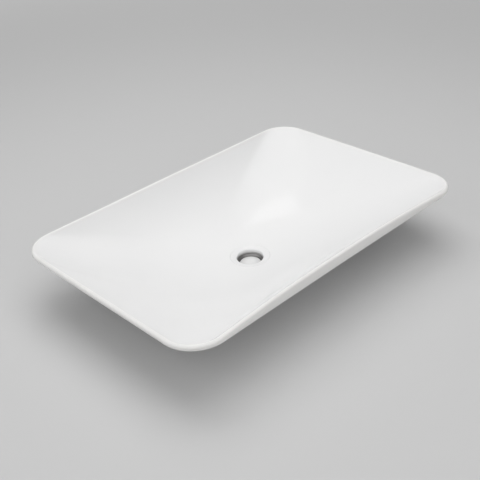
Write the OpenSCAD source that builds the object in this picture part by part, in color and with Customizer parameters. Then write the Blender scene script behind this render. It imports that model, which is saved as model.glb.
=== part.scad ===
// Countertop basin: a wide, shallow, thin-rimmed ceramic bowl with its push-to-open waste.
// The counter's top is the plane z = 0, the drain's axis is the Z axis,
// and the long side of the bowl lies along X. All sizes are in millimetres.

/* [Bowl] */
// Overall length of the rim
rim_length = 600; // [480:1:760]
// Overall width of the rim, measured near its corners
rim_width = 408; // [340:1:480]
// Height of the rim above the counter, at the middle of a long side
rim_height = 108; // [100:1:130]
// Corner radius of the rim in plan
corner_radius = 56; // [46:1:80]
// Level of the drain above the counter
drain_level = 22; // [21:0.5:28]
// Power of the curve from the flat floor of the bowl to its rim
bowl_curve = 2.5; // [2:0.1:3.2]
// How far the floor falls towards the drain
floor_fall = 16; // [8:1:22]
// Thickness of the ceramic wall
wall = 8.4; // [7:0.1:10]

/* [Rim] */
// How far the rim drops from the middle of the long sides to the short sides
rim_droop = 4.8; // [0:0.1:8]
// How far the long sides are drawn in at their middle
rim_waist = 7.3; // [0:0.1:10]
// How much deeper the rim's outer face is at the middle of the long sides
rim_apron = 10.2; // [0:0.1:12]

/* [Foot] */
// Length of the foot
foot_length = 300; // [240:1:340]
// Width of the foot
foot_width = 200; // [170:1:230]
// Corner radius of the foot
foot_corner = 72; // [60:1:84]
// Width of the foot's bearing face
foot_face = 11; // [8:0.5:14]
// Rounding of the foot's edges
foot_round = 1.6; // [0.8:0.1:3]

/* [Drain] */
// Radius of the recess that the flange sits in
recess_r = 33.2; // [33.2:0.1:34.5]
// Radius of the drain hole through the ceramic
drain_hole_r = 23; // [22.8:0.1:24]
// Thickness of the ceramic under the flange
drain_wall = 10; // [8:0.5:11]
// Radius of the thickened ring under the drain
drain_boss_r = 37; // [35:0.5:44]

/* [Waste] */
// Radius of the flange
flange_r = 33; // [31:0.1:33.1]
// Thickness of the flange at its edge
flange_t = 2.5; // [2:0.1:3]
// Rounding of the flange's edge
flange_edge = 0.6; // [0.3:0.1:1]
// Slope of the flange's face towards the throat, in degrees
flange_slope = 9; // [3:0.5:10]
// Thickness of the gasket under the flange
gasket_t = 1.5; // [1:0.1:2]
// Inside radius of the throat
throat_r = 21; // [20.6:0.1:21.2]
// Rounding of the throat's lip
lip_r = 3; // [2:0.1:3.4]
// Wall of the throat
throat_wall = 1.5; // [1.3:0.1:1.7]
// Depth of the wide throat, below the flange's face
throat_depth = 10; // [8.6:0.1:10.4]
// Inside radius of the tail tube
tube_bore_r = 19; // [18.6:0.1:19.2]
// Outside radius of the tail tube's pipe thread
thread_r = 20.95; // [20.9:0.01:21.2]
// Length of the whole waste, from the flange's face to the tail's end
waste_length = 84; // [78:1:110]
// Length of free thread at the tail's end, for the trap's nut
tail_thread = 38; // [24:1:40]
// Radius of the plain waist between the two runs of thread
waist_r = 20.1; // [19.8:0.05:20.4]
// Length of the plain waist
waist_length = 8; // [4:0.5:10]
// Number of arms in the cross that carries the cartridge
arm_count = 4; // [3:1:6]
// Thickness of each arm
arm_t = 2.4; // [1.8:0.1:3.2]
// Height of each arm
arm_h = 7; // [5:0.5:9]
// Radius of the hub in the middle of the cross
hub_r = 7; // [6:0.1:8]

/* [Plug] */
// Radius of the plug's white face
plug_r = 18.3; // [17.8:0.05:18.6]
// Thickness of the plug's face
face_t = 4; // [3.4:0.1:5]
// Rounding of the face's edge
face_round = 1.6; // [0.8:0.1:2]
// How far the closed plug lies below the flange's face
plug_inset = 11.6; // [9.4:0.1:12]
// How far the plug rises when it opens
plug_lift = 8; // [5:0.1:8]
// Radius of the plug's carrier, under the face
carrier_r = 17; // [16.4:0.1:17.4]
// Height of the carrier
carrier_h = 5; // [4.6:0.1:5.4]
// Radius of the section of the plug's sealing ring
seal_section = 1.45; // [1.2:0.05:1.6]
// Radial clearance of the sealing ring in the tube
seal_gap = 0.05; // [0.02:0.01:0.1]

/* [Cartridge] */
// Radius of the plunger's stem
stem_r = 4; // [3.6:0.1:4.4]
// Running clearance of the stem in its cap
stem_gap = 0.05; // [0.02:0.01:0.1]
// Outside radius of the cartridge
cartridge_r = 8.6; // [8.2:0.1:9.4]
// Inside radius of the cartridge
cartridge_bore_r = 6.5; // [6.3:0.1:6.8]
// Height of the cartridge's cap
cap_h = 3.5; // [3:0.1:4]
// Gap between the closed plug and the cartridge's cap
plug_cap_gap = 1.6; // [1:0.1:2]
// Thickness of the plunger's head
head_t = 3; // [2.4:0.1:3.6]
// Height of the saw teeth between plunger and index ring
tooth_h = 1.7; // [1.2:0.1:2.2]
// Number of saw teeth
tooth_count = 6; // [4:1:6]
// Gap between the two sets of saw teeth
tooth_gap = 0.15; // [0.1:0.05:0.3]
// Height of the index ring under its teeth
ring_h = 3; // [2.4:0.1:4]
// Length of the spring with the plug closed
spring_closed = 8; // [7.2:0.1:10]
// Radius of the spring's wire
wire_r = 0.45; // [0.35:0.01:0.5]
// Turns in the spring
spring_turns = 6; // [4:1:7]
// Radius of the screw under the cartridge
screw_r = 3.95; // [3.6:0.05:4.2]
// Length of the screw under the cartridge
screw_length = 9.4; // [8:0.1:12]

/* [Nut and washers] */
// Outside radius of the cone washer
washer_r = 31; // [28:0.5:33]
// Thickness of the cone washer below the ceramic
washer_t = 4.5; // [3:0.1:5]
// Height of the cone that enters the drain hole
cone_h = 2; // [1:0.1:2.2]
// Thickness of the slip washer
slip_t = 1.2; // [0.8:0.1:1.6]
// Distance across the flats of the backnut
nut_across = 56; // [52:0.5:60]
// Thickness of the backnut
nut_t = 9; // [7:0.5:10]
// Radial clearance of washers and nut over the thread
thread_gap = 0.08; // [0.05:0.01:0.2]

/* [Hidden] */
$fn = 96;

white_glaze = [0.93, 0.93, 0.92];
white_coat = [0.9, 0.9, 0.9];
rubber_black = [0.12, 0.12, 0.12];
brass_tone = [0.78, 0.62, 0.34];
steel_tone = [0.66, 0.67, 0.68];
resin_white = [0.84, 0.84, 0.82];

cut_past = 1; // how far a cut runs past the face that it opens
seat_gap = 0.3; // gap between parts of two bodies that meet at rest

// Points round one quarter of the rim: half a long side, the corner, half a short side
long_steps = 9;
corner_steps = 9;
short_steps = 6;
edge_steps = 6; // points over the round edge of the rim

edge_r = wall / 2;
rim_a = rim_length / 2 - edge_r;
rim_b = rim_width / 2 - edge_r;
rim_corner = corner_radius - edge_r;
floor_r = drain_boss_r; // the bowl's curve starts outside this circle
bowl_rise = rim_height - edge_r - (drain_level - edge_r);

seat_level = drain_level - flange_t - gasket_t;
boss_level = seat_level - drain_wall;
nut_top = boss_level - washer_t - slip_t;
tail_level = drain_level - waste_length;
waist_level = tail_level + tail_thread;
// The flange's face is a shallow cone, tangent to its rounded edge and to the throat's lip
edge_mid_r = flange_r - flange_edge;
edge_mid = drain_level - flange_edge;
lip_mid_r = throat_r + lip_r;
lip_mid = edge_mid - (lip_r - flange_edge) / cos(flange_slope)
    - (edge_mid_r - lip_mid_r) * tan(flange_slope);
throat_level = drain_level - throat_depth;
bore_level = throat_level - (throat_r - tube_bore_r);
throat_out_r = throat_r + throat_wall;
throat_end = boss_level + cone_h + seat_gap;

plug_top = drain_level - plug_inset;
carrier_top = plug_top - face_t;
carrier_bottom = carrier_top - carrier_h;
seal_level = carrier_bottom + carrier_h / 2;
seal_mid_r = tube_bore_r - seal_gap - seal_section;
cap_top = carrier_bottom - plug_cap_gap;
cap_bottom = cap_top - cap_h;
head_top = cap_bottom - seat_gap - plug_lift;
head_bottom = head_top - head_t;
ring_top = head_bottom - tooth_h - tooth_gap;
ring_bottom = ring_top - ring_h;
cavity_bottom = ring_bottom - spring_closed;
housing_bottom = cavity_bottom - 3;
head_r = cartridge_bore_r - 0.3;
pin_r = stem_r - 1.4;
screw_end = housing_bottom - screw_length;

// The bowl is a stack of rounded rectangles. Each lies at a share s of the way from the
// floor's circle (0) to the rim (1), and its corners grow rounder towards the floor.
function half_length(s) = floor_r + (rim_a - floor_r) * s;
function half_width(s) = floor_r + (rim_b - floor_r) * s;
function round_at(s) = half_width(s) * (1 - (1 - rim_corner / rim_b) * pow(s, 2));

// Distance from the axis to a rounded rectangle, in the direction of an angle
function reach(angle, a, b, r) =
    let (c = abs(cos(angle)), s = abs(sin(angle)), p = a - r, q = b - r)
    a * s <= q * c ? a / c
    : b * c <= p * s ? b / s
    : let (along = p * c + q * s) along + sqrt(along * along - p * p - q * q + r * r);

// Share of the long side's swell: 1 at its middle, fading to 0 at the corners
function swell(share) = pow(1 - pow(min(1, abs(share)), 3), 2);

// Middle surface of the wall, at share s and an angle round the axis
function middle(s, angle) =
    let (
        a = half_length(s),
        d = reach(angle, a, half_width(s), round_at(s)),
        x = d * cos(angle),
        side = swell(x / a) * pow(s, 4)
    )
    [
        x,
        d * sin(angle) * (1 - rim_waist / rim_b * side),
        drain_level - edge_r + floor_fall * s + (bowl_rise - floor_fall) * pow(s, bowl_curve)
            - rim_droop * pow(x / rim_a, 2)
    ];

function unit(v) = v / norm(v);
function slope_way(s, angle) = unit(middle(s + 0.002, angle) - middle(s - 0.002, angle));
function face_way(s, angle) =
    unit(cross(slope_way(s, angle), middle(s, angle + 0.2) - middle(s, angle - 0.2)));

function inside(s, angle) = middle(s, angle) + edge_r * face_way(s, angle);
// The underside hangs lower near the rim, where the long sides have their deeper outer face
function apron(s, angle) =
    [0, 0, rim_apron * swell(middle(s, angle)[0] / half_length(s)) * pow(s, 8)];
function outside(s, angle) = middle(s, angle) - edge_r * face_way(s, angle) - apron(s, angle);
// The rim's edge is half a circle in section, from the inside over to the outside,
// and the apron draws its outer half downwards
function edge(turn, angle) =
    middle(1, angle) + edge_r * (cos(turn) * face_way(1, angle) + sin(turn) * slope_way(1, angle))
        - apron(1, angle) * pow(max(0, -cos(turn)), 0.7);

function flat_ring(a, b, r, z) =
    [for (angle = angles) let (d = reach(angle, a, b, r)) [d * cos(angle), d * sin(angle), z]];

// Angles of the points round the rim, closer together round the corners
quarter = concat(
    [for (i = [0 : short_steps - 1]) atan2((rim_b - rim_corner) * i / short_steps, rim_a)],
    [for (i = [0 : corner_steps - 1])
        atan2(rim_b - rim_corner + rim_corner * sin(90 * i / corner_steps),
            rim_a - rim_corner + rim_corner * cos(90 * i / corner_steps))],
    [for (i = [0 : long_steps - 1]) atan2(rim_b, (rim_a - rim_corner) * (1 - i / long_steps))]
);
mirrored = [for (i = [len(quarter) - 1 : -1 : 1]) 180 - quarter[i]];
half_turn = concat(quarter, [90], mirrored);
angles = concat(half_turn, [for (angle = half_turn) angle + 180]);

foot_a = foot_length / 2;
foot_b = foot_width / 2;
foot_share = 0.56; // where the underside leaves the bowl's curve and turns down into the foot
cove_share = 0.36; // where the hollow under the bowl meets the foot's inner wall
foot_top = outside(foot_share, 90)[2];
cove_top = outside(cove_share, 90)[2];

inner_shares = [0.05, 0.12, 0.2, 0.29, 0.38, 0.47, 0.56, 0.64, 0.72, 0.79, 0.86, 0.92, 0.97, 1];
outer_shares = [1, 0.96, 0.9, 0.83, 0.76, 0.69, 0.62, foot_share];
under_shares = [cove_share, 0.26, 0.16, 0.08, 0.03];

shell_rings = concat(
    [flat_ring(floor_r, floor_r, floor_r, drain_level)],
    [for (s = inner_shares) [for (angle = angles) inside(s, angle)]],
    [for (i = [1 : edge_steps]) [for (angle = angles) edge(180 * i / (edge_steps + 1), angle)]],
    [for (s = outer_shares) [for (angle = angles) outside(s, angle)]],
    [for (i = [1 : 4]) let (turn = 90 * i / 4, out = (half_width(foot_share) - foot_b) * (1 - sin(turn)))
        flat_ring(foot_a + out, foot_b + out, foot_corner + out / 2,
            foot_round + (foot_top - foot_round) * pow(cos(turn), 1.4) * 0.8)],
    [flat_ring(foot_a - foot_round, foot_b - foot_round, foot_corner - foot_round, 0)],
    [flat_ring(foot_a - foot_face, foot_b - foot_face, foot_corner - foot_face, 0)],
    [flat_ring(foot_a - foot_face - foot_round, foot_b - foot_face - foot_round,
        foot_corner - foot_face - foot_round, foot_round)],
    [flat_ring(foot_a - foot_face - 4, foot_b - foot_face - 4, foot_corner - foot_face - 4,
        cove_top * 0.7)],
    [for (s = under_shares) [for (angle = angles) outside(s, angle)]],
    [flat_ring(drain_boss_r, drain_boss_r, drain_boss_r, boss_level)]
);

// Skins a closed stack of rings with triangles; the first and last ring are flat lids
module skin(rings) {
    n = len(rings[0]);
    last = len(rings) - 1;
    polyhedron(
        points = [for (ring = rings, p = ring) p],
        faces = concat(
            [[for (j = [0 : n - 1]) j]],
            [for (i = [0 : last - 1], j = [0 : n - 1], k = [0, 1])
                let (p = i * n + j, q = i * n + (j + 1) % n)
                k == 0 ? [p, p + n, q] : [q, p + n, q + n]],
            [[for (j = [n - 1 : -1 : 0]) last * n + j]]
        ),
        convexity = 6
    );
}

module basin_shell() color(white_glaze) difference() {
    skin(shell_rings);
    translate([0, 0, seat_level]) cylinder(r = recess_r, h = drain_level - seat_level + cut_past);
    translate([0, 0, boss_level - cut_past])
        cylinder(r = drain_hole_r, h = seat_level - boss_level + 2 * cut_past);
}

module ring(outer, inner, bottom, top) rotate_extrude()
    translate([inner, bottom]) square([outer - inner, top - bottom]);

module flange_gasket() color(rubber_black)
    ring(flange_r - 0.6, throat_out_r + 0.2, seat_level, seat_level + gasket_t);

// One revolved casting: flange, throat and tail tube, with a cross inside
module waste_body() color(white_coat) {
    rotate_extrude() polygon(concat(
        [for (i = [0 : 6]) let (a = (90 + flange_slope) * i / 6)
            [edge_mid_r + flange_edge * cos(a), edge_mid + flange_edge * sin(a)]],
        [for (i = [0 : 6]) let (a = 90 + flange_slope + (90 - flange_slope) * i / 6)
            [lip_mid_r + lip_r * cos(a), lip_mid + lip_r * sin(a)]],
        [
            [throat_r, throat_level],
            [tube_bore_r, bore_level],
            [tube_bore_r, tail_level],
            [thread_r - 1, tail_level],
            [thread_r, tail_level + 1],
            [thread_r, waist_level],
            [waist_r, waist_level + 0.6],
            [waist_r, waist_level + waist_length],
            [thread_r, waist_level + waist_length + 0.6],
            [thread_r, throat_end],
            [throat_out_r, throat_end],
            [throat_out_r, drain_level - flange_t],
            [flange_r, drain_level - flange_t]
        ]
    ));
    difference() {
        union() {
            translate([0, 0, screw_end]) cylinder(r = hub_r, h = housing_bottom - screw_end);
            for (i = [0 : arm_count - 1]) rotate(i * 360 / arm_count)
                translate([0, -arm_t / 2, screw_end + 2])
                    cube([tube_bore_r + 0.5, arm_t, arm_h]);
        }
        translate([0, 0, screw_end - cut_past])
            cylinder(r = screw_r + thread_gap, h = screw_length + 2 * cut_past);
    }
}

module plug_face() color(white_glaze) rotate_extrude() polygon(concat(
    [[0, carrier_top], [plug_r - 0.6, carrier_top], [plug_r, carrier_top + 0.6]],
    [for (a = [0 : 15 : 90])
        [plug_r - face_round + face_round * cos(a), plug_top - face_round + face_round * sin(a)]],
    [[0, plug_top]]
));

module plug_carrier() color(brass_tone) difference() {
    translate([0, 0, carrier_bottom]) cylinder(r = carrier_r, h = carrier_h);
    rotate_extrude() translate([seal_mid_r, seal_level])
        circle(r = seal_section + seal_gap, $fn = 48);
    translate([0, 0, carrier_bottom - cut_past]) cylinder(r = stem_r, h = carrier_h - 1 + cut_past);
}

module plug_seal() color(rubber_black)
    rotate_extrude() translate([seal_mid_r, seal_level]) circle(r = seal_section, $fn = 48);

// Three-sided prisms laid like spokes, each with one upright and one sloping side.
// They cut the saw teeth of the index ring, and hang from the plunger to lie between them.
module saw_spokes(gap) {
    rise = tooth_h * 1.2;
    for (i = [0 : tooth_count - 1]) rotate((i + 0.3) * 360 / tooth_count)
        translate([pin_r - 0.3, 0, ring_top]) rotate([90, 0, 90]) linear_extrude(head_r)
            polygon([[gap, gap * 2], [gap + (rise - gap * 2) * 0.9, rise], [gap, rise]]);
}

module plunger_stem() color(steel_tone) {
    translate([0, 0, head_bottom]) cylinder(r = stem_r, h = carrier_top - 1 - head_bottom);
    translate([0, 0, head_bottom]) cylinder(r = head_r, h = head_t);
    translate([0, 0, ring_bottom - 2]) cylinder(r = pin_r, h = head_bottom - ring_bottom + 2);
    intersection() {
        saw_spokes(tooth_gap);
        ring(head_r - 0.3, pin_r - 0.4, ring_top, head_bottom + 0.5);
    }
}

module index_ring() color(resin_white) difference() {
    ring(head_r, pin_r + 0.1, ring_bottom, ring_top + tooth_h);
    saw_spokes(0);
}

// A round wire wound into a spring, swept along its helix
module click_spring() {
    mean_r = (head_r + pin_r) / 2;
    sides = 8;
    per_turn = 20;
    count = spring_turns * per_turn;
    low = cavity_bottom + wire_r;
    rise = ring_bottom - wire_r - low;
    points = [for (k = [0 : count], i = [0 : sides - 1])
        let (turn = k * 360 / per_turn, out = mean_r + wire_r * cos(i * 360 / sides))
        [out * cos(turn), out * sin(turn), low + rise * k / count + wire_r * sin(i * 360 / sides)]];
    color(steel_tone) polyhedron(points = points, faces = concat(
        [[for (i = [0 : sides - 1]) i]],
        [for (k = [0 : count - 1], i = [0 : sides - 1], h = [0, 1])
            let (p = k * sides + i, q = k * sides + (i + 1) % sides)
            h == 0 ? [p, p + sides, q] : [q, p + sides, q + sides]],
        [[for (i = [sides - 1 : -1 : 0]) count * sides + i]]
    ));
}

module cartridge_housing() color(resin_white) {
    ring(cartridge_r, cartridge_bore_r, cavity_bottom, cap_bottom);
    translate([0, 0, housing_bottom]) cylinder(r = cartridge_r, h = cavity_bottom - housing_bottom);
    translate([0, 0, screw_end]) cylinder(r = screw_r, h = screw_length);
}

module cartridge_cap() color(resin_white) difference() {
    translate([0, 0, cap_bottom]) cylinder(r = cartridge_r, h = cap_h);
    translate([0, 0, cap_bottom - cut_past])
        cylinder(r = stem_r + stem_gap, h = cap_h + 2 * cut_past);
    translate([0, 0, cap_bottom + 1]) cylinder(r = stem_r + 1.6, h = 1.5);
}

module stem_wiper() color(rubber_black)
    ring(stem_r + 1.55, stem_r + stem_gap, cap_bottom + 1, cap_bottom + 2.5);

module cone_washer() color(rubber_black) rotate_extrude() polygon([
    [thread_r + thread_gap, boss_level - washer_t],
    [washer_r, boss_level - washer_t],
    [washer_r, boss_level],
    [drain_hole_r - 0.1, boss_level],
    [thread_r + thread_gap + 0.7, boss_level + cone_h],
    [thread_r + thread_gap, boss_level + cone_h]
]);

module slip_washer() color(resin_white)
    ring(washer_r - 1, thread_r + thread_gap, nut_top, nut_top + slip_t);

module backnut() color(brass_tone) difference() {
    translate([0, 0, nut_top - nut_t]) intersection() {
        cylinder(r = nut_across / 2 / cos(30), h = nut_t, $fn = 6);
        cylinder(r1 = nut_across / 2 + 1, r2 = nut_across / 2 + 12, h = nut_t * 1.2);
    }
    translate([0, 0, nut_top - nut_t - cut_past])
        cylinder(r = thread_r + thread_gap, h = nut_t + 2 * cut_past);
}

basin_shell();
flange_gasket();
waste_body();
plug_face();
plug_carrier();
plug_seal();
plunger_stem();
index_ring();
click_spring();
cartridge_housing();
cartridge_cap();
stem_wiper();
cone_washer();
slip_washer();
backnut();
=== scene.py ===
import math

import bpy
import numpy as np
from mathutils import Matrix, Vector


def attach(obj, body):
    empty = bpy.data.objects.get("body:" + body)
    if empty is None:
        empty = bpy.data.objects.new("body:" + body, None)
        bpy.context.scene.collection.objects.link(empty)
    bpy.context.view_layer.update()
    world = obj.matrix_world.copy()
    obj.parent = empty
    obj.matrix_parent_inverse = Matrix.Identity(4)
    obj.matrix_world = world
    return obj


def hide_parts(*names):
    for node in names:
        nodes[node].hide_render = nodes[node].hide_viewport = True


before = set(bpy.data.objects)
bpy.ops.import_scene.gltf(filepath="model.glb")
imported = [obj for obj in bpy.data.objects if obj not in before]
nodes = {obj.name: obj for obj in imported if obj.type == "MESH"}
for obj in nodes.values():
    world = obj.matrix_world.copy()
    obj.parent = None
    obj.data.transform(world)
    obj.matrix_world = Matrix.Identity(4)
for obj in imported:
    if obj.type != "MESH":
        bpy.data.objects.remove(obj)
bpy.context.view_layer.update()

scene = bpy.context.scene
mm = 0.001
print("frame:", len(nodes), "solids from the CAD")

shot = {
    "focal": 814.25, "pixels": 480,       # focal length in pixels of a picture that wide
    "sensor": 36,                         # mm
    "azimuth": -42.41, "elevation": 31.6, "roll": -4.184,
    "distance": 1232.7, "target": (-65.98, -50.6, 104.0),    # mm
    "clip": (0.01, 50.0),                 # m
}


def wayTo(values):
    # unit vector from the basin towards an azimuth a and elevation e; azimuth 0 is the front:
    # (sin a cos e, -cos a cos e, sin e)
    azimuth, elevation = math.radians(values["azimuth"]), math.radians(values["elevation"])
    return Vector((math.sin(azimuth) * math.cos(elevation),
                   -math.cos(azimuth) * math.cos(elevation), math.sin(elevation)))


def placeCamera(values):
    # the camera looks at the target from its azimuth and elevation, then rolls about its own axis
    azimuth, roll = math.radians(values["azimuth"]), math.radians(values["roll"])
    back = wayTo(values)
    right = Vector((math.cos(azimuth), math.sin(azimuth), 0))
    up = back.cross(right)
    right, up = (right * math.cos(roll) + up * math.sin(roll),
                 up * math.cos(roll) - right * math.sin(roll))
    camera = bpy.data.objects.new("camera", bpy.data.cameras.new("camera"))
    scene.collection.objects.link(camera)
    camera.data.sensor_width = values["sensor"]
    camera.data.lens = values["sensor"] * values["focal"] / values["pixels"]
    camera.data.clip_start, camera.data.clip_end = values["clip"]
    turn = Matrix((right, up, back)).transposed().to_4x4()
    place = (Vector(values["target"]) + back * values["distance"]) * mm
    camera.matrix_world = Matrix.Translation(place) @ turn
    scene.camera = camera


placeCamera(shot)
scene.view_settings.view_transform = "Standard"

lampSet = {
    # where each soft box stands round the basin (degrees, metres), its size and its radiance;
    # a matt one isn't mirrored in the glaze
    "spark": dict(azimuth=137.6, elevation=50.0, distance=2.2, size=(0.3, 0.3), radiance=0.9),
    "behind": dict(azimuth=140.0, elevation=8.0, distance=2.2, size=(2.4, 0.4), radiance=0.4),
    "front": dict(azimuth=-20.0, elevation=45.0, distance=2.4, size=(2.4, 2.0), radiance=1.1),
    "left": dict(azimuth=-100.0, elevation=35.0, distance=2.2, size=(2.0, 1.7), radiance=0.78),
    "back": dict(azimuth=165.0, elevation=62.0, distance=2.2, size=(2.0, 1.2), radiance=1.6,
                 matt=True),
    "overhead": dict(azimuth=60.0, elevation=84.0, distance=2.1, size=(1.8, 1.8), radiance=1.9,
                     matt=True),
}


def placeLamp(name, values):
    # a soft box that faces the basin; its power is pi * area * radiance
    way = wayTo(values)
    lamp = bpy.data.lights.new(name, "AREA")
    lamp.shape = "RECTANGLE"
    across, deep = values["size"]
    lamp.size, lamp.size_y = across, deep
    lamp.energy = math.pi * across * deep * values["radiance"]
    holder = bpy.data.objects.new(name, lamp)
    scene.collection.objects.link(holder)
    holder.visible_camera = False
    holder.visible_glossy = not values.get("matt", False)
    holder.location = way * values["distance"]
    holder.rotation_euler = way.to_track_quat("Z", "Y").to_euler()


for lampName, lampValues in lampSet.items():
    placeLamp(lampName, lampValues)
print("camera and", len(lampSet), "lamps placed")


class Wire:
    # one socket of a material; a sum on it adds the Math node that works it out
    def __init__(self, tree, socket):
        self.tree, self.socket = tree, socket

    def join(self, operation, first, second):
        return addNode(self.tree, "ShaderNodeMath", {"operation": operation}, {0: first, 1: second})

    def __add__(self, other):
        return self.join("ADD", self, other)

    def __radd__(self, other):
        return self.join("ADD", other, self)

    def __sub__(self, other):
        return self.join("SUBTRACT", self, other)

    def __rsub__(self, other):
        return self.join("SUBTRACT", other, self)

    def __mul__(self, other):
        return self.join("MULTIPLY", self, other)

    def __rmul__(self, other):
        return self.join("MULTIPLY", other, self)

    def __pow__(self, other):
        return self.join("POWER", self, other)


def addNode(tree, kind, settings=None, inputs=None, output=0):
    # any node: settings first, then a value or a Wire for each named or numbered socket
    made = tree.nodes.new(kind)
    for key, value in (settings or {}).items():
        setattr(made, key, value)
    for key, value in (inputs or {}).items():
        if isinstance(value, Wire):
            tree.links.new(value.socket, made.inputs[key])
        else:
            made.inputs[key].default_value = value
    return Wire(tree, made.outputs[output])


class Finish:
    # a material: its constant values sit on its Principled shader, its varying ones are wires
    def __init__(self, name, constants):
        self.material = bpy.data.materials.new(name)
        self.material.use_nodes = True
        self.tree = self.material.node_tree
        self.shader = self.tree.nodes["Principled BSDF"]
        for key, value in constants.items():
            self.shader.inputs[key].default_value = value
        self.place = self.add("ShaderNodeTexCoord", output="Object")

    def add(self, kind, settings=None, inputs=None, output=0):
        return addNode(self.tree, kind, settings, inputs, output)

    def noise(self, scale, detail=2.0, roughness=0.5, stretch=None):
        vector = self.place if stretch is None else self.stretched(stretch)
        inputs = {"Vector": vector, "Scale": scale, "Detail": detail, "Roughness": roughness}
        return self.add("ShaderNodeTexNoise", None, inputs)

    def stretched(self, scale):
        inputs = {0: self.place, 1: scale}
        return self.add("ShaderNodeVectorMath", {"operation": "MULTIPLY"}, inputs)

    def axis(self, which):
        return self.add("ShaderNodeSeparateXYZ", None, {0: self.place}, which)

    def fromAxis(self):
        # distance from the Z axis: (x ^ 2 + y ^ 2) ^ 0.5
        return (self.axis(0) ** 2.0 + self.axis(1) ** 2.0) ** 0.5

    def fade(self, value, low, high):
        # 0 below low, 1 above high, smooth between
        return self.add("ShaderNodeMapRange", {"interpolation_type": "SMOOTHSTEP"},
                        {"Value": value, "From Min": low, "From Max": high})

    def mix(self, share, first, second):
        return self.add("ShaderNodeMix", {"data_type": "RGBA"}, {0: share, 6: first, 7: second}, 2)

    def feed(self, wires):
        for key, wire in wires.items():
            self.tree.links.new(wire.socket, self.shader.inputs[key])

    def bump(self, height, distance, before=None):
        inputs = {"Height": height, "Distance": distance, "Strength": 1.0}
        if before is not None:
            inputs["Normal"] = before
        return self.add("ShaderNodeBump", None, inputs)


def grey(value, warmth=0.0):
    # a grey in linear values, a little redder and less blue where it is warm
    return (value + warmth, value, value - warmth, 1.0)


glazeLook = {
    "white": grey(0.86, 0.001),
    "deepWhite": grey(0.845),
    "thin": (0.83, 0.815, 0.785, 1.0),    # where the glaze runs thin over a sharp edge
    "clay": (0.62, 0.585, 0.53, 1.0), "paleClay": (0.7, 0.67, 0.62, 1.0), "clayRough": 0.8,
    "bareFrom": 1.1 * mm, "bareTo": 1.6 * mm,     # levels between which the foot is wiped bare
    "gloss": 0.07,
    "ripple": 0.05 * mm,                  # the soft waves that a poured glaze keeps
    "peel": 0.004 * mm, "pinhole": 0.02 * mm,
    # painted shade on the plug: the darker colour, and how much of it reaches the plug's edge
    "edgeShaded": grey(0.42, 0.004), "edgeShade": 0.42,
    "edgeShadeFrom": 5.0 * mm, "edgeShadeTo": 18.5 * mm,    # radii between which painted shade darkens the plug towards its edge
}


def glazeFinish(name, look, barefoot=False, edgeShaded=False):
    # a poured glaze: soft waves under a fine peel, with a few pinholes, thin over the rim's edge;
    # on the plug, painted shade darkens it towards its edge
    made = Finish(name, {"IOR": 1.52, "Specular IOR Level": 0.5})
    broad = made.fade(made.noise(5.0), 0.35, 0.65)
    cloud = made.noise(23.0, 3.0)
    specks = made.fade(made.noise(420.0, 1.0), 0.765, 0.79)    # only the noise's highest peaks
    edge = made.add("ShaderNodeAttribute", {"attribute_name": "edgeShare"}, output="Fac")
    colour = made.mix(broad, look["white"], look["deepWhite"])
    colour = made.mix(edge * (0.25 + cloud * 0.5), colour, look["thin"])
    colour = made.mix(specks * 0.35, colour, look["thin"])
    rough = look["gloss"] + made.fade(cloud, 0.3, 0.8) * 0.05
    waves = made.bump(made.noise(38.0, 1.0), look["ripple"])
    waves = made.bump(made.noise(310.0), look["peel"], waves)
    waves = made.bump(1.0 - specks, look["pinhole"], waves)
    if edgeShaded:
        # painted shade: the face is painted darker towards its edge, where the throat's walls shade
        # it
        edgeShade = made.fade(made.fromAxis(), look["edgeShadeFrom"], look["edgeShadeTo"])
        colour = made.mix(edgeShade * look["edgeShade"], colour, look["edgeShaded"])
        rough = rough + edgeShade * 0.06
    if barefoot:
        # the glaze is wiped off the bearing face, in a line that wanders a little
        level = made.axis(2) + made.noise(90.0, 3.0) * (0.9 * mm)
        bare = 1.0 - made.fade(level, look["bareFrom"], look["bareTo"])
        patches = made.fade(made.noise(60.0, 4.0), 0.35, 0.7)
        clay = made.mix(patches, look["clay"], look["paleClay"])
        colour = made.mix(bare, colour, clay)
        rough = rough + bare * (look["clayRough"] - rough)
        waves = made.bump(made.noise(1400.0, 4.0, 0.7) * bare, 0.15 * mm, waves)
    made.feed({"Base Color": colour, "Roughness": rough, "Normal": waves})
    return made.material


coatLook = {
    "white": grey(0.84), "cloudy": grey(0.825), "gloss": 0.13,
    "coatEnd": 12.8 * mm, "coatFull": 17.2 * mm,  # levels between which the coat thins out in the throat, onto nickel painted darker as shade
    "tail": (0.56, 0.545, 0.515, 1.0),    # bright nickel on the tail, painted darker as shade in the throat
    # painted shade: a darker copy of the nickel, for the throat
    "shadedNickel": grey(0.27, 0.004), "stain": grey(0.12, 0.004), "rough": 0.34,
    "tailEnd": -6.0 * mm,
}


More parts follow.
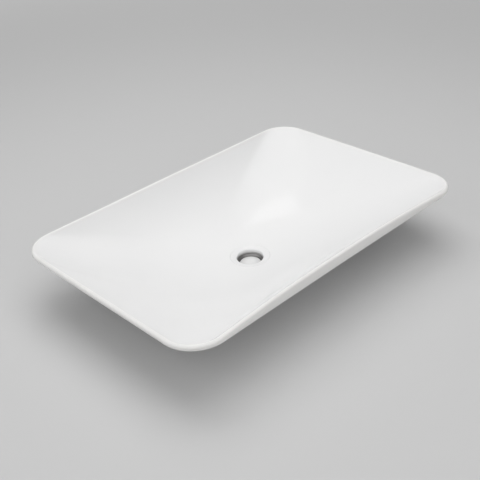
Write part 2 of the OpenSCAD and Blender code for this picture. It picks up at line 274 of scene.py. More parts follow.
def coatFinish(name, look):
    # white paint that thins out down the throat, over stained nickel with turning marks; the nickel
    # in the throat is painted darker as shade
    made = Finish(name, {"IOR": 1.5})
    level = made.axis(2) + made.noise(300.0) * (0.6 * mm)
    coat = made.fade(level, look["coatEnd"], look["coatFull"])
    turned = made.noise(1.0, 3.0, 0.6, stretch=(25.0, 25.0, 2600.0))
    stain = made.fade(made.noise(70.0, 4.0), 0.4, 0.75)
    # painted shade: the nickel darkens from the tail up into the throat
    shadedNickel = made.mix(made.fade(made.axis(2), look["tailEnd"], 0.0), look["tail"], look["shadedNickel"])
    shadedNickel = made.mix(stain * 0.2, shadedNickel, look["stain"])
    paint = made.mix(made.noise(30.0), look["white"], look["cloudy"])
    rough = look["rough"] + stain * 0.2 + turned * 0.1
    made.feed({
        "Base Color": made.mix(coat, shadedNickel, paint),
        "Metallic": 1.0 - coat,
        "Roughness": rough + coat * (look["gloss"] - rough),
        "Normal": made.bump(made.noise(420.0) * coat + turned * (1.0 - coat), 0.03 * mm),
    })
    return made.material


rubberLook = {"black": grey(0.022), "bloom": grey(0.05), "rough": 0.62, "grain": 0.04 * mm}


def rubberFinish(name, look):
    # fine grain with patches of grey bloom
    made = Finish(name, {"IOR": 1.5})
    bloom = made.fade(made.noise(120.0, 4.0), 0.45, 0.8)
    made.feed({
        "Base Color": made.mix(bloom, look["black"], look["bloom"]),
        "Roughness": look["rough"] + bloom * 0.2,
        "Normal": made.bump(made.noise(1600.0, 3.0), look["grain"]),
    })
    return made.material


brassLook = {"bright": (0.78, 0.57, 0.27, 1.0), "dull": (0.5, 0.36, 0.18, 1.0), "rough": 0.24}
steelLook = {"bright": (0.62, 0.62, 0.61, 1.0), "dull": (0.42, 0.42, 0.41, 1.0), "rough": 0.26}


def turnedFinish(name, look):
    # metal turned on a lathe about Z: fine rings, with a soft stain over them
    made = Finish(name, {"Metallic": 1.0})
    rings = made.noise(1.0, 3.0, 0.6, stretch=(40.0, 40.0, 3200.0))
    stain = made.fade(made.noise(85.0, 4.0), 0.4, 0.75)
    made.feed({
        "Base Color": made.mix(stain, look["bright"], look["dull"]),
        "Roughness": look["rough"] + stain * 0.18 + rings * 0.12,
        "Normal": made.bump(rings, 0.03 * mm),
    })
    return made.material


resinLook = {
    "white": (0.78, 0.78, 0.75, 1.0), "cloudy": (0.7332, 0.7332, 0.705, 1.0),
    "rough": 0.38, "grain": 0.02 * mm,
}


def resinFinish(name, look):
    # moulded resin: faint clouds over a fine grain
    made = Finish(name, {"IOR": 1.46})
    cloud = made.noise(150.0, 3.0)
    made.feed({
        "Base Color": made.mix(cloud, look["white"], look["cloudy"]),
        "Roughness": look["rough"] + cloud * 0.12,
        "Normal": made.bump(made.noise(2200.0), look["grain"]),
    })
    return made.material


basinGlaze = glazeFinish("white glaze, bare foot", glazeLook, barefoot=True)
# painted shade: the plug's glaze is a darker copy of the basin's white, for the shade down in the
# throat
shadedPlugLook = dict(glazeLook, white=grey(0.79, 0.001), deepWhite=grey(0.775))
shadedPlugGlaze = glazeFinish("white glaze, plug", shadedPlugLook, edgeShaded=True)
whiteCoat = coatFinish("white coat over nickel", coatLook)
blackRubber = rubberFinish("black rubber", rubberLook)
turnedBrass = turnedFinish("turned brass", brassLook)
drawnSteel = turnedFinish("drawn steel", steelLook)
whiteResin = resinFinish("white resin", resinLook)
print("finishes made")


def closedMesh(name, rows, wrapRows=True):
    # rows[i, j] is the point at step i along the section and step j round the axis, in mm;
    # both ways wrap, or the first and last rows shrink to one point each
    count, columns = rows.shape[:2]
    points = rows.reshape(-1, 3) * mm
    index = np.arange(count * columns).reshape(count, columns)
    after = np.roll(index, -1, axis=1)
    if wrapRows:
        low, high = index, np.roll(index, -1, axis=0)
        lowAfter, highAfter = after, np.roll(after, -1, axis=0)
        faces = [np.stack([low, lowAfter, highAfter, high], -1).reshape(-1, 4)]
    else:
        quads = np.stack([index[:-1], after[:-1], after[1:], index[1:]], -1).reshape(-1, 4)
        poles = rows[[0, -1]].mean(axis=1) * mm
        points = np.vstack([points, poles])
        lowPole, highPole = count * columns, count * columns + 1
        fans = [np.stack([np.full(columns, lowPole), after[0], index[0]], -1),
                np.stack([np.full(columns, highPole), index[-1], after[-1]], -1)]
        faces = [quads] + fans
    # the faces point outwards when the volume inside, a sum of a . (b x c), is above zero
    triangles = [f[:, [0, k, k + 1]] for f in faces for k in range(1, f.shape[1] - 1)]
    corners = points[np.concatenate(triangles)]
    volume = np.einsum("ij,ij->i", corners[:, 0], np.cross(corners[:, 1], corners[:, 2])).sum()
    if volume < 0:
        faces = [f[:, ::-1] for f in faces]
    mesh = bpy.data.meshes.new(name)
    mesh.from_pydata(points.tolist(), [], [f for block in faces for f in block.tolist()])
    mesh.polygons.foreach_set("use_smooth", np.ones(len(mesh.polygons), bool))
    mesh.update()
    return mesh


def addPiece(name, mesh, body, material, replaced=()):
    # a mesh becomes a piece that rides on its body and may stand for nodes of the CAD
    piece = bpy.data.objects.new(name, mesh)
    scene.collection.objects.link(piece)
    mesh.materials.append(material)
    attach(piece, body)
    if replaced:
        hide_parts(*replaced)


def roundCorners(corners, radii, steps=5, closed=True):
    # each corner of the section gives way to an arc of its radius, tangent to both of its sides:
    # the arc's middle lies on their bisector, radius / sin(half the angle) from the corner
    points = np.array(corners, float)
    total = len(points)
    section = []
    for k in range(total):
        here, radius = points[k], radii[k]
        if radius == 0 or (not closed and k in (0, total - 1)):
            section.append(here[None])
            continue
        before, after = points[k - 1] - here, points[(k + 1) % total] - here
        before, after = before / np.linalg.norm(before), after / np.linalg.norm(after)
        half = math.acos(np.clip(before @ after, -1, 1)) / 2
        middle = here + (before + after) / np.linalg.norm(before + after) * radius / math.sin(half)
        start, end = here + before * radius / math.tan(half), here + after * radius / math.tan(half)
        share = np.linspace(0, 1, steps + 1)[:, None]
        chord = (start - middle) * (1 - share) + (end - middle) * share
        section.append(middle + chord / np.linalg.norm(chord, axis=1, keepdims=True) * radius)
    return np.concatenate(section)


def fillSection(section, longest, closed=True):
    # sides longer than the given length are cut into equal steps
    ends = np.roll(section, -1, axis=0) if closed else section[1:]
    filled = []
    for start, end in zip(section, ends):
        steps = max(1, math.ceil(np.linalg.norm(end - start) / longest))
        filled.append(start + (end - start) * np.linspace(0, 1, steps, endpoint=False)[:, None])
    if not closed:
        filled.append(section[-1:])
    return np.concatenate(filled)


def arcSection(middleR, middleZ, radius, start, end, count):
    # an arc of a section: (middle + radius cos, middle + radius sin) from one turn to the other
    turn = np.linspace(start, end, count)
    return np.stack([middleR + radius * np.cos(turn), middleZ + radius * np.sin(turn)], -1)


def carryRound(radius, height, angle):
    # points carried round the Z axis: x = r cos, y = r sin, z = h
    points = radius * np.cos(angle), radius * np.sin(angle), height
    return np.stack(np.broadcast_arrays(*points), -1)


def turnSection(section, angle):
    # a section (radius, height) carried once round the Z axis
    return carryRound(section[:, :1], section[:, 1:], angle)


def throughRings(rings, steps):
    # a smooth curve through the rings: each span is the cubic whose ends have the slope
    # of the line between the rings before and after (rings[0] and rings[-1] only give slopes)
    share = np.linspace(0, 1, steps, endpoint=False)[:, None, None]
    spans = []
    for k in range(1, len(rings) - 2):
        before, start, end, after = rings[k - 1:k + 3]
        out, inward = (end - before) / 2, (after - start) / 2
        spans.append(start * (1 + share ** 2 * (2 * share - 3)) + end * share ** 2 * (3 - 2 * share)
                     + out * share * (1 - share) ** 2 - inward * share ** 2 * (1 - share))
    return np.concatenate(spans + [rings[-2][None]])


bowl = {
    # mm, where it isn't a share or a power
    "length": 600.0, "width": 408.0, "height": 108.0, "corner": 56.0, "wall": 8.4,
    "drainLevel": 22.0, "floorRadius": 37.0, "curve": 2.5, "fall": 16.0,
    "droop": 4.8, "waist": 7.3, "apron": 10.2,
    "footLength": 300.0, "footWidth": 200.0, "footCorner": 72.0, "footFace": 11.0, "footRound": 1.6,
    "footShare": 0.56, "coveLead": 0.61,    # the cove to the foot starts at, and is led in from
    "covePower": 1.4, "coveRise": 0.8,
    "hollowInset": 4.0, "hollowShare": 0.36, "hollowRise": 0.7,    # the foot's inner wall
    "hollowRings": (0.08, 0.3, 0.55, 0.8),    # shares of the way from there to the boss
    "recess": 33.08, "seatLevel": 18.0, "hole": 23.0,
    "underside": 8.0, "bossRound": 0.8, "bossShare": 0.03,
    "edgeFade": 0.02,       # share of the wall over which the glaze thickens again below the rim
    "columns": (30, 30, 20),    # over half a long side, a corner and half a short side
}
edgeR = bowl["wall"] / 2
rimA, rimB = bowl["length"] / 2 - edgeR, bowl["width"] / 2 - edgeR
rimCorner = bowl["corner"] - edgeR
lowLevel = bowl["drainLevel"] - edgeR
bowlRise = bowl["height"] - edgeR - lowLevel


def rimAngles():
    # angles whose rays cut the rim at even steps along its sides and round its corners
    longSteps, cornerSteps, shortSteps = bowl["columns"]
    straightB, straightA = rimB - rimCorner, rimA - rimCorner
    turn = np.linspace(0, math.pi / 2, cornerSteps, endpoint=False)
    quarter = np.concatenate([
        np.arctan2(straightB * np.linspace(0, 1, shortSteps, endpoint=False), rimA),
        np.arctan2(straightB + rimCorner * np.sin(turn), straightA + rimCorner * np.cos(turn)),
        np.arctan2(rimB, straightA * (1 - np.linspace(0, 1, longSteps, endpoint=False))),
    ])
    half = np.concatenate([quarter, [math.pi / 2], math.pi - quarter[:0:-1]])
    return np.concatenate([half, half + math.pi])


def reach(angle, a, b, r):
    # distance from the axis to a rectangle 2a by 2b with corners of radius r, along a ray:
    # a / cos on a short side, b / sin on a long one, and in a corner with its middle at (p, q)
    # p cos + q sin + root((p cos + q sin) ^ 2 - p ^ 2 - q ^ 2 + r ^ 2)
    c, s = np.abs(np.cos(angle)), np.abs(np.sin(angle))
    p, q = a - r, b - r
    along = p * c + q * s
    toCorner = along + np.sqrt(np.maximum(0, along ** 2 - p ** 2 - q ** 2 + r ** 2))
    toShort, toLong = a / np.maximum(c, 1e-9), b / np.maximum(s, 1e-9)
    return np.where(a * s <= q * c, toShort, np.where(b * c <= p * s, toLong, toCorner))


def flatRing(a, b, r, z, angle):
    # the outline of such a rectangle at one level
    return carryRound(reach(angle, a, b, r), z, angle)


def halfSides(share):
    # half the length and width of the bowl's rectangle, from the floor's circle out to the rim
    start = bowl["floorRadius"]
    return start + (rimA - start) * share, start + (rimB - start) * share


def swell(share):
    # 1 at the middle of a long side and 0 at its ends: (1 - |share| ^ 3) ^ 2
    return (1 - np.minimum(1, np.abs(share)) ** 3) ** 2


def wallMiddle(share, angle):
    # middle of the wall: rounded rectangles that grow as the share goes from 0 at the floor's
    # circle to 1 at the rim, with half their width * (1 - (1 - corner / rim) * share ^ 2) as their
    # corner; height = fall * share + rest * share ^ curve - droop * (x / half length) ^ 2;
    # the long sides are drawn in by waist * swell(x / a) * share ^ 4
    a, b = halfSides(share)
    d = reach(angle, a, b, b * (1 - (1 - rimCorner / rimB) * share ** 2))
    x = d * np.cos(angle)
    y = d * np.sin(angle) * (1 - bowl["waist"] / rimB * swell(x / a) * share ** 4)
    z = (lowLevel + bowl["fall"] * share + (bowlRise - bowl["fall"]) * share ** bowl["curve"]
         - bowl["droop"] * (x / rimA) ** 2)
    return np.stack(np.broadcast_arrays(x, y, z), -1)


def unit(v):
    # each vector over its own length
    return v / np.linalg.norm(v, axis=-1, keepdims=True)


def wallWays(share, angle):
    # unit vectors up the slope of the wall and square to its face, from small steps each way
    up, along = 0.002, 0.0035
    slope = unit(wallMiddle(share + up, angle) - wallMiddle(share - up, angle))
    level = wallMiddle(share, angle + along) - wallMiddle(share, angle - along)
    return slope, unit(np.cross(slope, level))


def apronDrop(share, angle):
    # the outer face hangs lower by apron * swell(x / a) * share ^ 8 on the long sides
    x = wallMiddle(share, angle)[..., 0]
    return bowl["apron"] * swell(x / halfSides(share)[0]) * share ** 8


def wallFace(share, angle, side):
    # the wall's inner (side 1) or outer (side -1) face, half its thickness from the middle
    points = wallMiddle(share, angle) + side * edgeR * wallWays(share, angle)[1]
    if side < 0:
        points[..., 2] -= apronDrop(share, angle)
    return points


def rimEdge(turn, angle):
    # half a circle of the wall's thickness over the top of the wall, from inside to outside;
    # the apron draws its outer half down by apron * (cos turn) ^ 2
    top = np.ones_like(angle)
    slope, face = wallWays(top, angle)
    points = wallMiddle(top, angle) + edgeR * (
        np.cos(turn)[..., None] * face + np.sin(turn)[..., None] * slope)
    points[..., 2] -= apronDrop(top, angle) * np.maximum(0, -np.cos(turn)) ** 2
    return points


def basinRows(angle):
    # the shell's section at each angle, one ring to a row: up the inner face, over the rim, down
    # the outer face, round the foot, back under the bowl and up through the drain;
    # the rows lie closer together towards the rim
    inShares = np.concatenate([np.linspace(0.01, 0.9, 88), np.linspace(0.91, 1, 12)])
    inside = wallFace(inShares[:, None], angle[None], 1)
    turns = np.linspace(0, math.pi, 26)[1:-1]
    edge = rimEdge(turns[:, None], np.broadcast_to(angle, (len(turns), len(angle))))
    outShares = np.concatenate([np.linspace(1, 0.94, 7), np.linspace(0.93, 0.62, 26)])
    outside = wallFace(outShares[:, None], angle[None], -1)

    footSides = np.array([bowl["footLength"] / 2, bowl["footWidth"] / 2, bowl["footCorner"]])
    footRound, footFace, footShare = bowl["footRound"], bowl["footFace"], bowl["footShare"]
    boss, underside, quarterTurn = bowl["floorRadius"], bowl["underside"], math.pi / 2

    def bowlRing(share):
        # the bowl's underside at one share of the wall
        return wallFace(np.full_like(angle, share), angle, -1)

    def bowlLevel(share):
        # its level over the middle of a long side
        return wallFace(np.array([share]), np.array([quarterTurn]), -1)[0, 2]

    def footRing(inset, level):
        # the foot's outline at one level, drawn in by the inset
        return flatRing(*(footSides - inset), level, angle)

    def bossRing(radius, level):
        # a circle round the drain
        return flatRing(radius, radius, radius, level, angle)

    coveGap = halfSides(footShare)[1] - footSides[1]
    coveRise = (bowlLevel(footShare) - footRound) * bowl["coveRise"]

    def coveRing(turn):
        # the foot's outline, grown by gap * (1 - sin turn), at rise * (cos turn) ^ power
        out = coveGap * (1 - math.sin(turn))
        level = footRound + coveRise * math.cos(turn) ** bowl["covePower"]
        return flatRing(*(footSides + out * np.array([1, 1, 0.5])), level, angle)

    innerInset = footFace + bowl["hollowInset"]

    def hollowRing(share):
        # the bowl's underside over a ring that shrinks from the foot's inner wall to the boss;
        # at each angle the wall's share is halved in on until its underside lies over the ring
        over = reach(angle, *(boss * share + (footSides - innerInset) * (1 - share)))
        least, most = np.zeros_like(angle), np.ones_like(angle)
        for halving in range(24):
            guess = (least + most) / 2
            within = np.linalg.norm(wallFace(guess, angle, -1)[:, :2], axis=1) < over
            least, most = np.where(within, guess, least), np.where(within, most, guess)
        return wallFace((least + most) / 2, angle, -1)

    # the first and the last ring of each list only lead the curve in and out
    leadOut = -8
    foot = throughRings(np.array(
        [bowlRing(bowl["coveLead"]), bowlRing(footShare)]
        + [coveRing(quarterTurn * k / 4) for k in (1, 2, 3, 4)] + [footRing(0, leadOut)]), 7)
    # the foot's outer edge, its bearing face and its inner edge
    arc = np.linspace(0, quarterTurn, 6)
    outer = [footRing(footRound * (1 - math.cos(t)), footRound * (1 - math.sin(t)))
             for t in arc[1:]]
    inner = [footRing(footFace + footRound * math.sin(t), footRound * (1 - math.cos(t)))
             for t in arc]
    innerWall = footRing(innerInset, bowlLevel(bowl["hollowShare"]) * bowl["hollowRise"])
    hollow = throughRings(np.array(
        [footRing(footFace + 1.2, leadOut), inner[-1], innerWall]
        + [hollowRing(share) for share in bowl["hollowRings"]]
        + [bowlRing(bowl["bossShare"]), bossRing(boss, underside + bowl["bossRound"]),
           bossRing(boss - 0.4, underside - 4)]), 6)
    hollow = hollow[1:]    # its first row is the inner edge's last
    hole, recess, seat, level = (bowl[k] for k in ("hole", "recess", "seatLevel", "drainLevel"))
    drain = roundCorners(
        [(boss - bowl["bossRound"], underside), (hole, underside), (hole, seat), (recess, seat),
         (recess, level), (boss, level)],
        [0, 0.8, 0.6, 0.4, 0.3, 0], 4, closed=False)
    drain = turnSection(fillSection(drain, 3.0, closed=False), angle)
    rows = [inside, edge, outside, foot, np.array(outer), np.array(inner), hollow, drain]
    # how far each row lies over the round edge of the rim, for the thin glaze there
    edgeShare = np.concatenate([
        np.clip(1 - (1 - inShares) / bowl["edgeFade"], 0, 1) * 0.5, 0.5 + 0.5 * np.sin(turns),
        np.clip(1 - (1 - outShares) / bowl["edgeFade"], 0, 1) * 0.5,
        np.zeros(sum(len(r) for r in rows[3:]))])
    return np.concatenate(rows), edgeShare


rimAngle = rimAngles()
shellRows, shellEdge = basinRows(rimAngle)
shellMesh = closedMesh("basinShell", shellRows)
edgeValues = shellMesh.attributes.new("edgeShare", "FLOAT", "POINT")
edgeValues.data.foreach_set("value", np.repeat(shellEdge, len(rimAngle)).astype(np.float32))
addPiece("basinShell", shellMesh, "basin", basinGlaze, ["basin_shell"])
print("basin:", len(shellMesh.polygons), "faces")


waste = {
    # mm, and degrees for the slope of the flange's face
    "flange": 33.0, "flangeThick": 2.5, "flangeEdge": 0.6, "slope": 9.0,
    "throat": 21.7, "lip": 3.0, "wall": 0.8, "throatDepth": 10.0, "throatEnd": 10.3,
    "bore": 19.0, "thread": 20.95, "blank": 0.2, "pitch": 2.309, "threadDepth": 1.3,
    "runIn": 2.6, "runOut": 1.5,    # lengths over which the thread's grooves reach their depth
    "tail": -62.0, "tailBevel": 0.9, "waistLow": -24.0, "waistHigh": -16.0, "waist": 19.6,
    "hubLow": -40.25, "hubHigh": -30.85, "hub": 7.0, "screwHole": 4.03,
    "arms": 4, "armThick": 2.4, "armHigh": 7.0, "armRise": 2.0,
    "armSink": (0.6, 0.4),          # how far an arm runs into the hub and into the tube's wall
    "columns": 144, "threadRows": 9,    # round the tube, and to each pitch of its thread
}


def wasteRows(values):
    # one section carried round the axis; on its two threaded lengths the radius is
    # thread - depth * |saw(z / pitch - turn)|, cut flat at crests and roots, so that the ridges
    # climb one pitch a turn; between them the radius narrows to the waist
    angle = np.linspace(0, 2 * math.pi, values["columns"], endpoint=False)
    slope, level = math.radians(values["slope"]), bowl["drainLevel"]
    throat, lipR, flangeEdge = values["throat"], values["lip"], values["flangeEdge"]
    bore, thread, tail, end = (values[k] for k in ("bore", "thread", "tail", "throatEnd"))
    # the flange's face is a cone, tangent to its rounded edge and to the throat's lip
    edgeMidR, edgeMid, lipMidR = values["flange"] - flangeEdge, level - flangeEdge, throat + lipR
    lipMid = (edgeMid - (lipR - flangeEdge) / math.cos(slope)
              - (edgeMidR - lipMidR) * math.tan(slope))
    edge = arcSection(edgeMidR, edgeMid, flangeEdge, 0, math.pi / 2 + slope, 8)
    lip = arcSection(lipMidR, lipMid, lipR, math.pi / 2 + slope, math.pi, 12)
    throatLevel = level - values["throatDepth"]
    flangeLow, blank = level - values["flangeThick"], thread - values["blank"]
    below = roundCorners(
        [lip[-1], (throat, throatLevel), (bore, throatLevel - (throat - bore)), (bore, tail),
         (blank, tail), (blank, end), (throat + values["wall"], end),
         (throat + values["wall"], flangeLow), (values["flange"], flangeLow), edge[0]],
        [0, 0.8, 0.8, 0.5, 0.3, 0.3, 0.3, 0.4, 0.4, 0], 4, closed=False)
    # the tail's outer wall, from the rounding at its foot to that at its top, gives way to
    # points that lie close enough together for the thread
    first = np.flatnonzero((below[:, 0] > blank - 0.05) & (below[:, 1] < end - 0.2))[0]
    last = np.flatnonzero((below[:, 0] < thread) & (below[:, 1] > end - 0.35))
    last = last[last > first][0]
    heights = np.arange(tail + 0.4, end - 0.4, values["pitch"] / values["threadRows"])
    wall = np.stack([np.full_like(heights, thread), heights], -1)
    section = np.concatenate([
        edge, fillSection(np.array([edge[-1], lip[0]]), 2.0, closed=False)[1:-1], lip,
        fillSection(below[1:first + 1], 4.0, closed=False), wall,
        fillSection(below[last:-1], 3.0, closed=False)])
    onThread = (np.abs(section[:, 0] - thread) < 1e-6)[:, None]
    z = section[:, 1:]

    def ramp(low, high):
        # 0 below low, 1 above high, straight between
        return np.clip((z - low) / (high - low), 0, 1)

    low, high = values["waistLow"], values["waistHigh"]
    inWaist = ramp(low - 0.4, low + 0.8) * (1 - ramp(high - 0.8, high + 0.4))
    cut = ramp(tail, tail + values["runIn"]) * (1 - ramp(end - values["runOut"], end))
    saw = np.abs(((z / values["pitch"] - angle / (2 * math.pi)) % 1) * 2 - 1)
    groove = values["threadDepth"] * np.clip(saw * 1.25 - 0.12, 0, 1) * cut * (1 - inWaist)
    bevel = (1 - ramp(tail, tail + 1.0)) * values["tailBevel"]
    radius = thread - groove - bevel - (thread - values["waist"]) * inWaist
    return carryRound(np.where(onThread, radius, section[:, :1]), z, angle)


def sweepSection(section, start, end, steps):
    # a section (across, up) carried along a straight line in X from start to end
    along = np.linspace(start, end, steps)[:, None]
    return np.stack(np.broadcast_arrays(along, section[:, 0], section[:, 1]), -1)


around = np.linspace(0, 2 * math.pi, 96, endpoint=False)    # columns of the plain turned pieces


def addTurned(name, section, material, replaced=()):
    # a closed section carried once round the axis
    mesh = closedMesh(name, turnSection(fillSection(section, 2.0), around))
    addPiece(name, mesh, "basin", material, replaced)


wasteMesh = closedMesh("wasteTube", wasteRows(waste))
addPiece("wasteTube", wasteMesh, "basin", whiteCoat, ["waste_body"])
hubR, screwR, hubLow, hubHigh = (waste[k] for k in ("hub", "screwHole", "hubLow", "hubHigh"))
addTurned("wasteHub", roundCorners(
    [(screwR, hubLow), (hubR, hubLow), (hubR, hubHigh), (screwR, hubHigh)], [0.3, 0.8, 0.3, 0.2]),
    whiteCoat)
armHalf, armLow = waste["armThick"] / 2, hubLow + waste["armRise"]
armTop = armLow + waste["armHigh"]
armSection = fillSection(roundCorners(
    [(-armHalf, armLow), (armHalf, armLow), (armHalf, armTop), (-armHalf, armTop)],
    [1.1, 1.1, 0.5, 0.5]), 1.0)
inHub, inWall = waste["armSink"]
for k in range(waste["arms"]):
    arm = sweepSection(armSection, hubR - inHub, waste["bore"] + inWall, 12)
    turn = k * 2 * math.pi / waste["arms"]
    c, s = math.cos(turn), math.sin(turn)
    arm = arm @ np.array([[c, s, 0], [-s, c, 0], [0, 0, 1]])
    armName = f"wasteArm{k + 1}"
    addPiece(armName, closedMesh(armName, arm, wrapRows=False), "basin", whiteCoat)
print("waste made")


fixing = {
    # mm
    "washer": 31.0, "washerThick": 4.5, "bore": 21.03,
    "cone": 2.0, "coneFit": 0.1, "coneTip": 0.7,    # height, play in the hole, width at the tip
    "slip": 1.2, "slipInset": 1.0, "nutTop": 2.3, "nutThick": 9.0, "nutAcross": 56.0,
    "nutBlunt": 0.6, "lowBevel": (0.6, 1.9), "highBevel": (0.9, 5.0),    # width and slope
    "nutColumns": 288, "nutSharp": 24.0,            # degrees past which an edge is drawn sharp
}
bossLow, fixBore, washerR = bowl["underside"], fixing["bore"], fixing["washer"]
washerLow, coneTop = bossLow - fixing["washerThick"], bossLow + fixing["cone"]
coneLowR, coneTopR = bowl["hole"] - fixing["coneFit"], fixBore + fixing["coneTip"]
addTurned("coneWasher", roundCorners(
    [(fixBore, washerLow), (washerR, washerLow), (washerR, bossLow),
     (coneLowR, bossLow), (coneTopR, coneTop), (fixBore, coneTop)],
    [0.3, 0.8, 0.5, 0.2, 0.2, 0.2]), blackRubber, ["cone_washer"])
slipR, slipLow = washerR - fixing["slipInset"], fixing["nutTop"]
slipTop = slipLow + fixing["slip"]
addTurned("slipWasher", roundCorners(
    [(fixBore, slipLow), (slipR, slipLow), (slipR, slipTop), (fixBore, slipTop)], [0.2] * 4),
    whiteResin, ["slip_washer"])


def nutRows(values):
    # a six-sided prism met by a cone at each end: radius = the least of half the width over
    # cos(angle from the flat's middle), a cylinder that blunts the corners, and the cones' radii,
    # half the width + bevel + slope * distance from the end
    angle = np.linspace(0, 2 * math.pi, values["nutColumns"], endpoint=False)
    low, high, bore = values["nutTop"] - values["nutThick"], values["nutTop"], values["bore"]
    fromFlat = angle % (math.pi / 3) - math.pi / 6    # a corner points along X
    half = values["nutAcross"] / 2
    blunt = half / math.cos(math.pi / 6) - values["nutBlunt"]
    prism = np.minimum(half / np.cos(fromFlat), blunt)

    (lowWidth, lowSlope), (highWidth, highSlope) = values["lowBevel"], values["highBevel"]

    def limit(z):
        # the radius at one level
        lowCone = half + lowWidth + (z - low) * lowSlope
        highCone = half + highWidth + (high - z) * highSlope
        return np.minimum(prism, np.minimum(lowCone, highCone))

    boreSection = roundCorners([(bore + 2, high), (bore, high), (bore, low), (bore + 2, low)],
                               [0, 0.5, 0.5, 0], closed=False)[1:-1]
    boreSection = fillSection(boreSection, 1.0, closed=False)
    outward = np.array([0.2, 0.45, 0.7, 0.88, 0.97, 1.0])[:, None]
    upward = np.linspace(0, 1, 38)[1:-1, None]
    sideLevel = low + (high - low) * upward
    innerR = bore + 0.5
    radius = np.concatenate([
        innerR + outward * (limit(low) - innerR), limit(sideLevel),
        innerR + outward[::-1] * (limit(high) - innerR),
        np.broadcast_to(boreSection[:, :1], (len(boreSection), len(angle)))])
    lowFace, highFace = np.full_like(outward, low), np.full_like(outward, high)
    return carryRound(
        radius, np.concatenate([lowFace, sideLevel, highFace, boreSection[:, 1:]]), angle)


nutMesh = closedMesh("pipeNut", nutRows(fixing))
nutMesh.set_sharp_from_angle(angle=math.radians(fixing["nutSharp"]))
addPiece("pipeNut", nutMesh, "basin", turnedBrass, ["backnut"])
print("fixings made")


plug = {"radius": 18.3, "top": 10.4, "thick": 4.0, "round": 2.2, "crown": 0.9}    # mm
plugR, plugLow = plug["radius"], plug["top"] - plug["thick"]
plugSide = plug["top"] - plug["crown"]
plugCorners = roundCorners(
    [(0.0, plugLow), (plugR, plugLow), (plugR, plugSide), (0.0, plugSide)],
    [0, 0.6, plug["round"], 0], 8, closed=False)
plugSection = fillSection(plugCorners, 0.8, closed=False)
# the face is crowned: height + crown * (1 - (r / radius) ^ 2) on its upper side
raised = plugSection[:, 1] > plug["top"] - plug["thick"] / 2
plugCrown = plug["crown"] * (1 - (plugSection[:, 0] / plugR) ** 2)
plugSection[:, 1] += np.where(raised, plugCrown, 0)
# the section's two ends lie on the axis, where closedMesh puts its poles
plugMesh = closedMesh("plugFace", turnSection(plugSection[1:-1], around), wrapRows=False)
addPiece("plugFace", plugMesh, "plug", shadedPlugGlaze, ["plug_face"])
print("plug made")


kept = {
    # these nodes show the CAD's own solids, which only get a material
    "flange_gasket": blackRubber, "plug_carrier": turnedBrass, "plug_seal": blackRubber,
    "plunger_stem": drawnSteel, "index_ring": whiteResin, "click_spring": drawnSteel,
    "cartridge_housing": whiteResin, "cartridge_cap": whiteResin, "stem_wiper": blackRubber,
}
for nodeName, material in kept.items():
    solid = nodes[nodeName].data
    solid.materials.clear()
    solid.materials.append(material)


ground = {
    "tone": 0.60, "bounce": 0.68,         # as the camera sees it, and as it lights the basin
    "backdrop": 0.52, "rough": 0.8,
    "fadeFrom": 0.7, "fadeTo": 2.6,       # m, where the floor turns into the backdrop
    "level": -0.2, "inFoot": 0.7, "start": 240.0, "reach": 7000.0,    # mm
    "columns": 192, "circles": 40,
}
# the floor starts under the foot's rounded edge, so that it is open below the foot:
# its rings turn from the foot's outline into circles that grow by an even factor
floorAngle = np.linspace(0, 2 * math.pi, ground["columns"], endpoint=False)
floorSides = (side - ground["inFoot"] for side in
              (bowl["footLength"] / 2, bowl["footWidth"] / 2, bowl["footCorner"]))
innerRing = flatRing(*floorSides, ground["level"], floorAngle)
circleR = np.geomspace(ground["start"], ground["reach"], ground["circles"])[:, None]
floorRows = np.concatenate([innerRing[None], carryRound(circleR, ground["level"], floorAngle)])
floorMesh = bpy.data.meshes.new("floor")
grid = np.arange(floorRows[..., 0].size).reshape(floorRows.shape[:2])
beside = np.roll(grid, -1, axis=1)
floorFaces = np.stack([grid[:-1], grid[1:], beside[1:], beside[:-1]], -1).reshape(-1, 4)
floorMesh.from_pydata((floorRows.reshape(-1, 3) * mm).tolist(), [], floorFaces.tolist())
floor = bpy.data.objects.new("floor", floorMesh)
scene.collection.objects.link(floor)
floorFinish = Finish("pale floor", {"Specular IOR Level": 0.2})
cameraRay = floorFinish.add("ShaderNodeLightPath", output="Is Camera Ray")
mottle = 0.97 + floorFinish.noise(3.0, 3.0) * 0.06
floorFinish.feed({
    "Base Color": floorFinish.mix(cameraRay, grey(ground["bounce"]), grey(ground["tone"])),
    "Roughness": ground["rough"] * mottle,
})
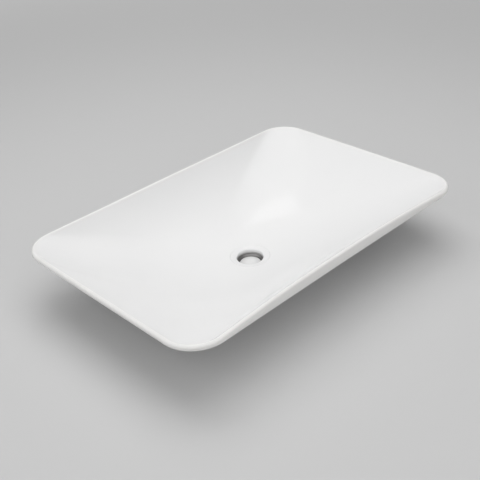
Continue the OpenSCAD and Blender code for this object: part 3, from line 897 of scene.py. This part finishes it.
# far off, the camera sees the plain backdrop in place of the unlit floor
far = floorFinish.fade(floorFinish.fromAxis(), ground["fadeFrom"], ground["fadeTo"])
far = far * cameraRay
plain = floorFinish.add("ShaderNodeEmission", None, {"Color": grey(ground["backdrop"])})
# from below the floor is see-through, so that the underside can be looked at
fromBelow = floorFinish.add("ShaderNodeNewGeometry", output="Backfacing")
clear = floorFinish.add("ShaderNodeBsdfTransparent")
shader = Wire(floorFinish.tree, floorFinish.shader.outputs[0])
shader = floorFinish.add("ShaderNodeMixShader", None, {0: far, 1: shader, 2: plain})
oneSided = floorFinish.add("ShaderNodeMixShader", None, {0: fromBelow, 1: shader, 2: clear})
floorOut = floorFinish.tree.nodes["Material Output"]
floorFinish.tree.links.new(oneSided.socket, floorOut.inputs["Surface"])
floorMesh.materials.append(floorFinish.material)

sky = {"above": 0.18, "below": 0.95}
scene.world = bpy.data.worlds.new("studio")
scene.world.use_nodes = True
worldTree = scene.world.node_tree
worldTree.nodes.clear()
# dim above the floor and bright below it, where it lights the foot's hollow; the camera and
# the glaze see the plain backdrop instead
wayOut = addNode(worldTree, "ShaderNodeTexCoord", output="Generated")
height = addNode(worldTree, "ShaderNodeSeparateXYZ", None, {0: wayOut}, 2)
under = height.join("LESS_THAN", height, 0.0)
strength = sky["above"] + (sky["below"] - sky["above"]) * under
glow = addNode(worldTree, "ShaderNodeBackground", None,
               {"Color": grey(1.0), "Strength": strength})
seen = addNode(worldTree, "ShaderNodeBackground", None,
               {"Color": grey(ground["backdrop"]), "Strength": 1.0})
cameraRay = addNode(worldTree, "ShaderNodeLightPath", output="Is Camera Ray")
mirrored = addNode(worldTree, "ShaderNodeLightPath", output="Is Glossy Ray")
shown = addNode(worldTree, "ShaderNodeMixShader", None,
                {0: cameraRay.join("MAXIMUM", cameraRay, mirrored), 1: glow, 2: seen})
worldOut = worldTree.nodes.new("ShaderNodeOutputWorld")
worldTree.links.new(shown.socket, worldOut.inputs["Surface"])
print("floor and backdrop made")
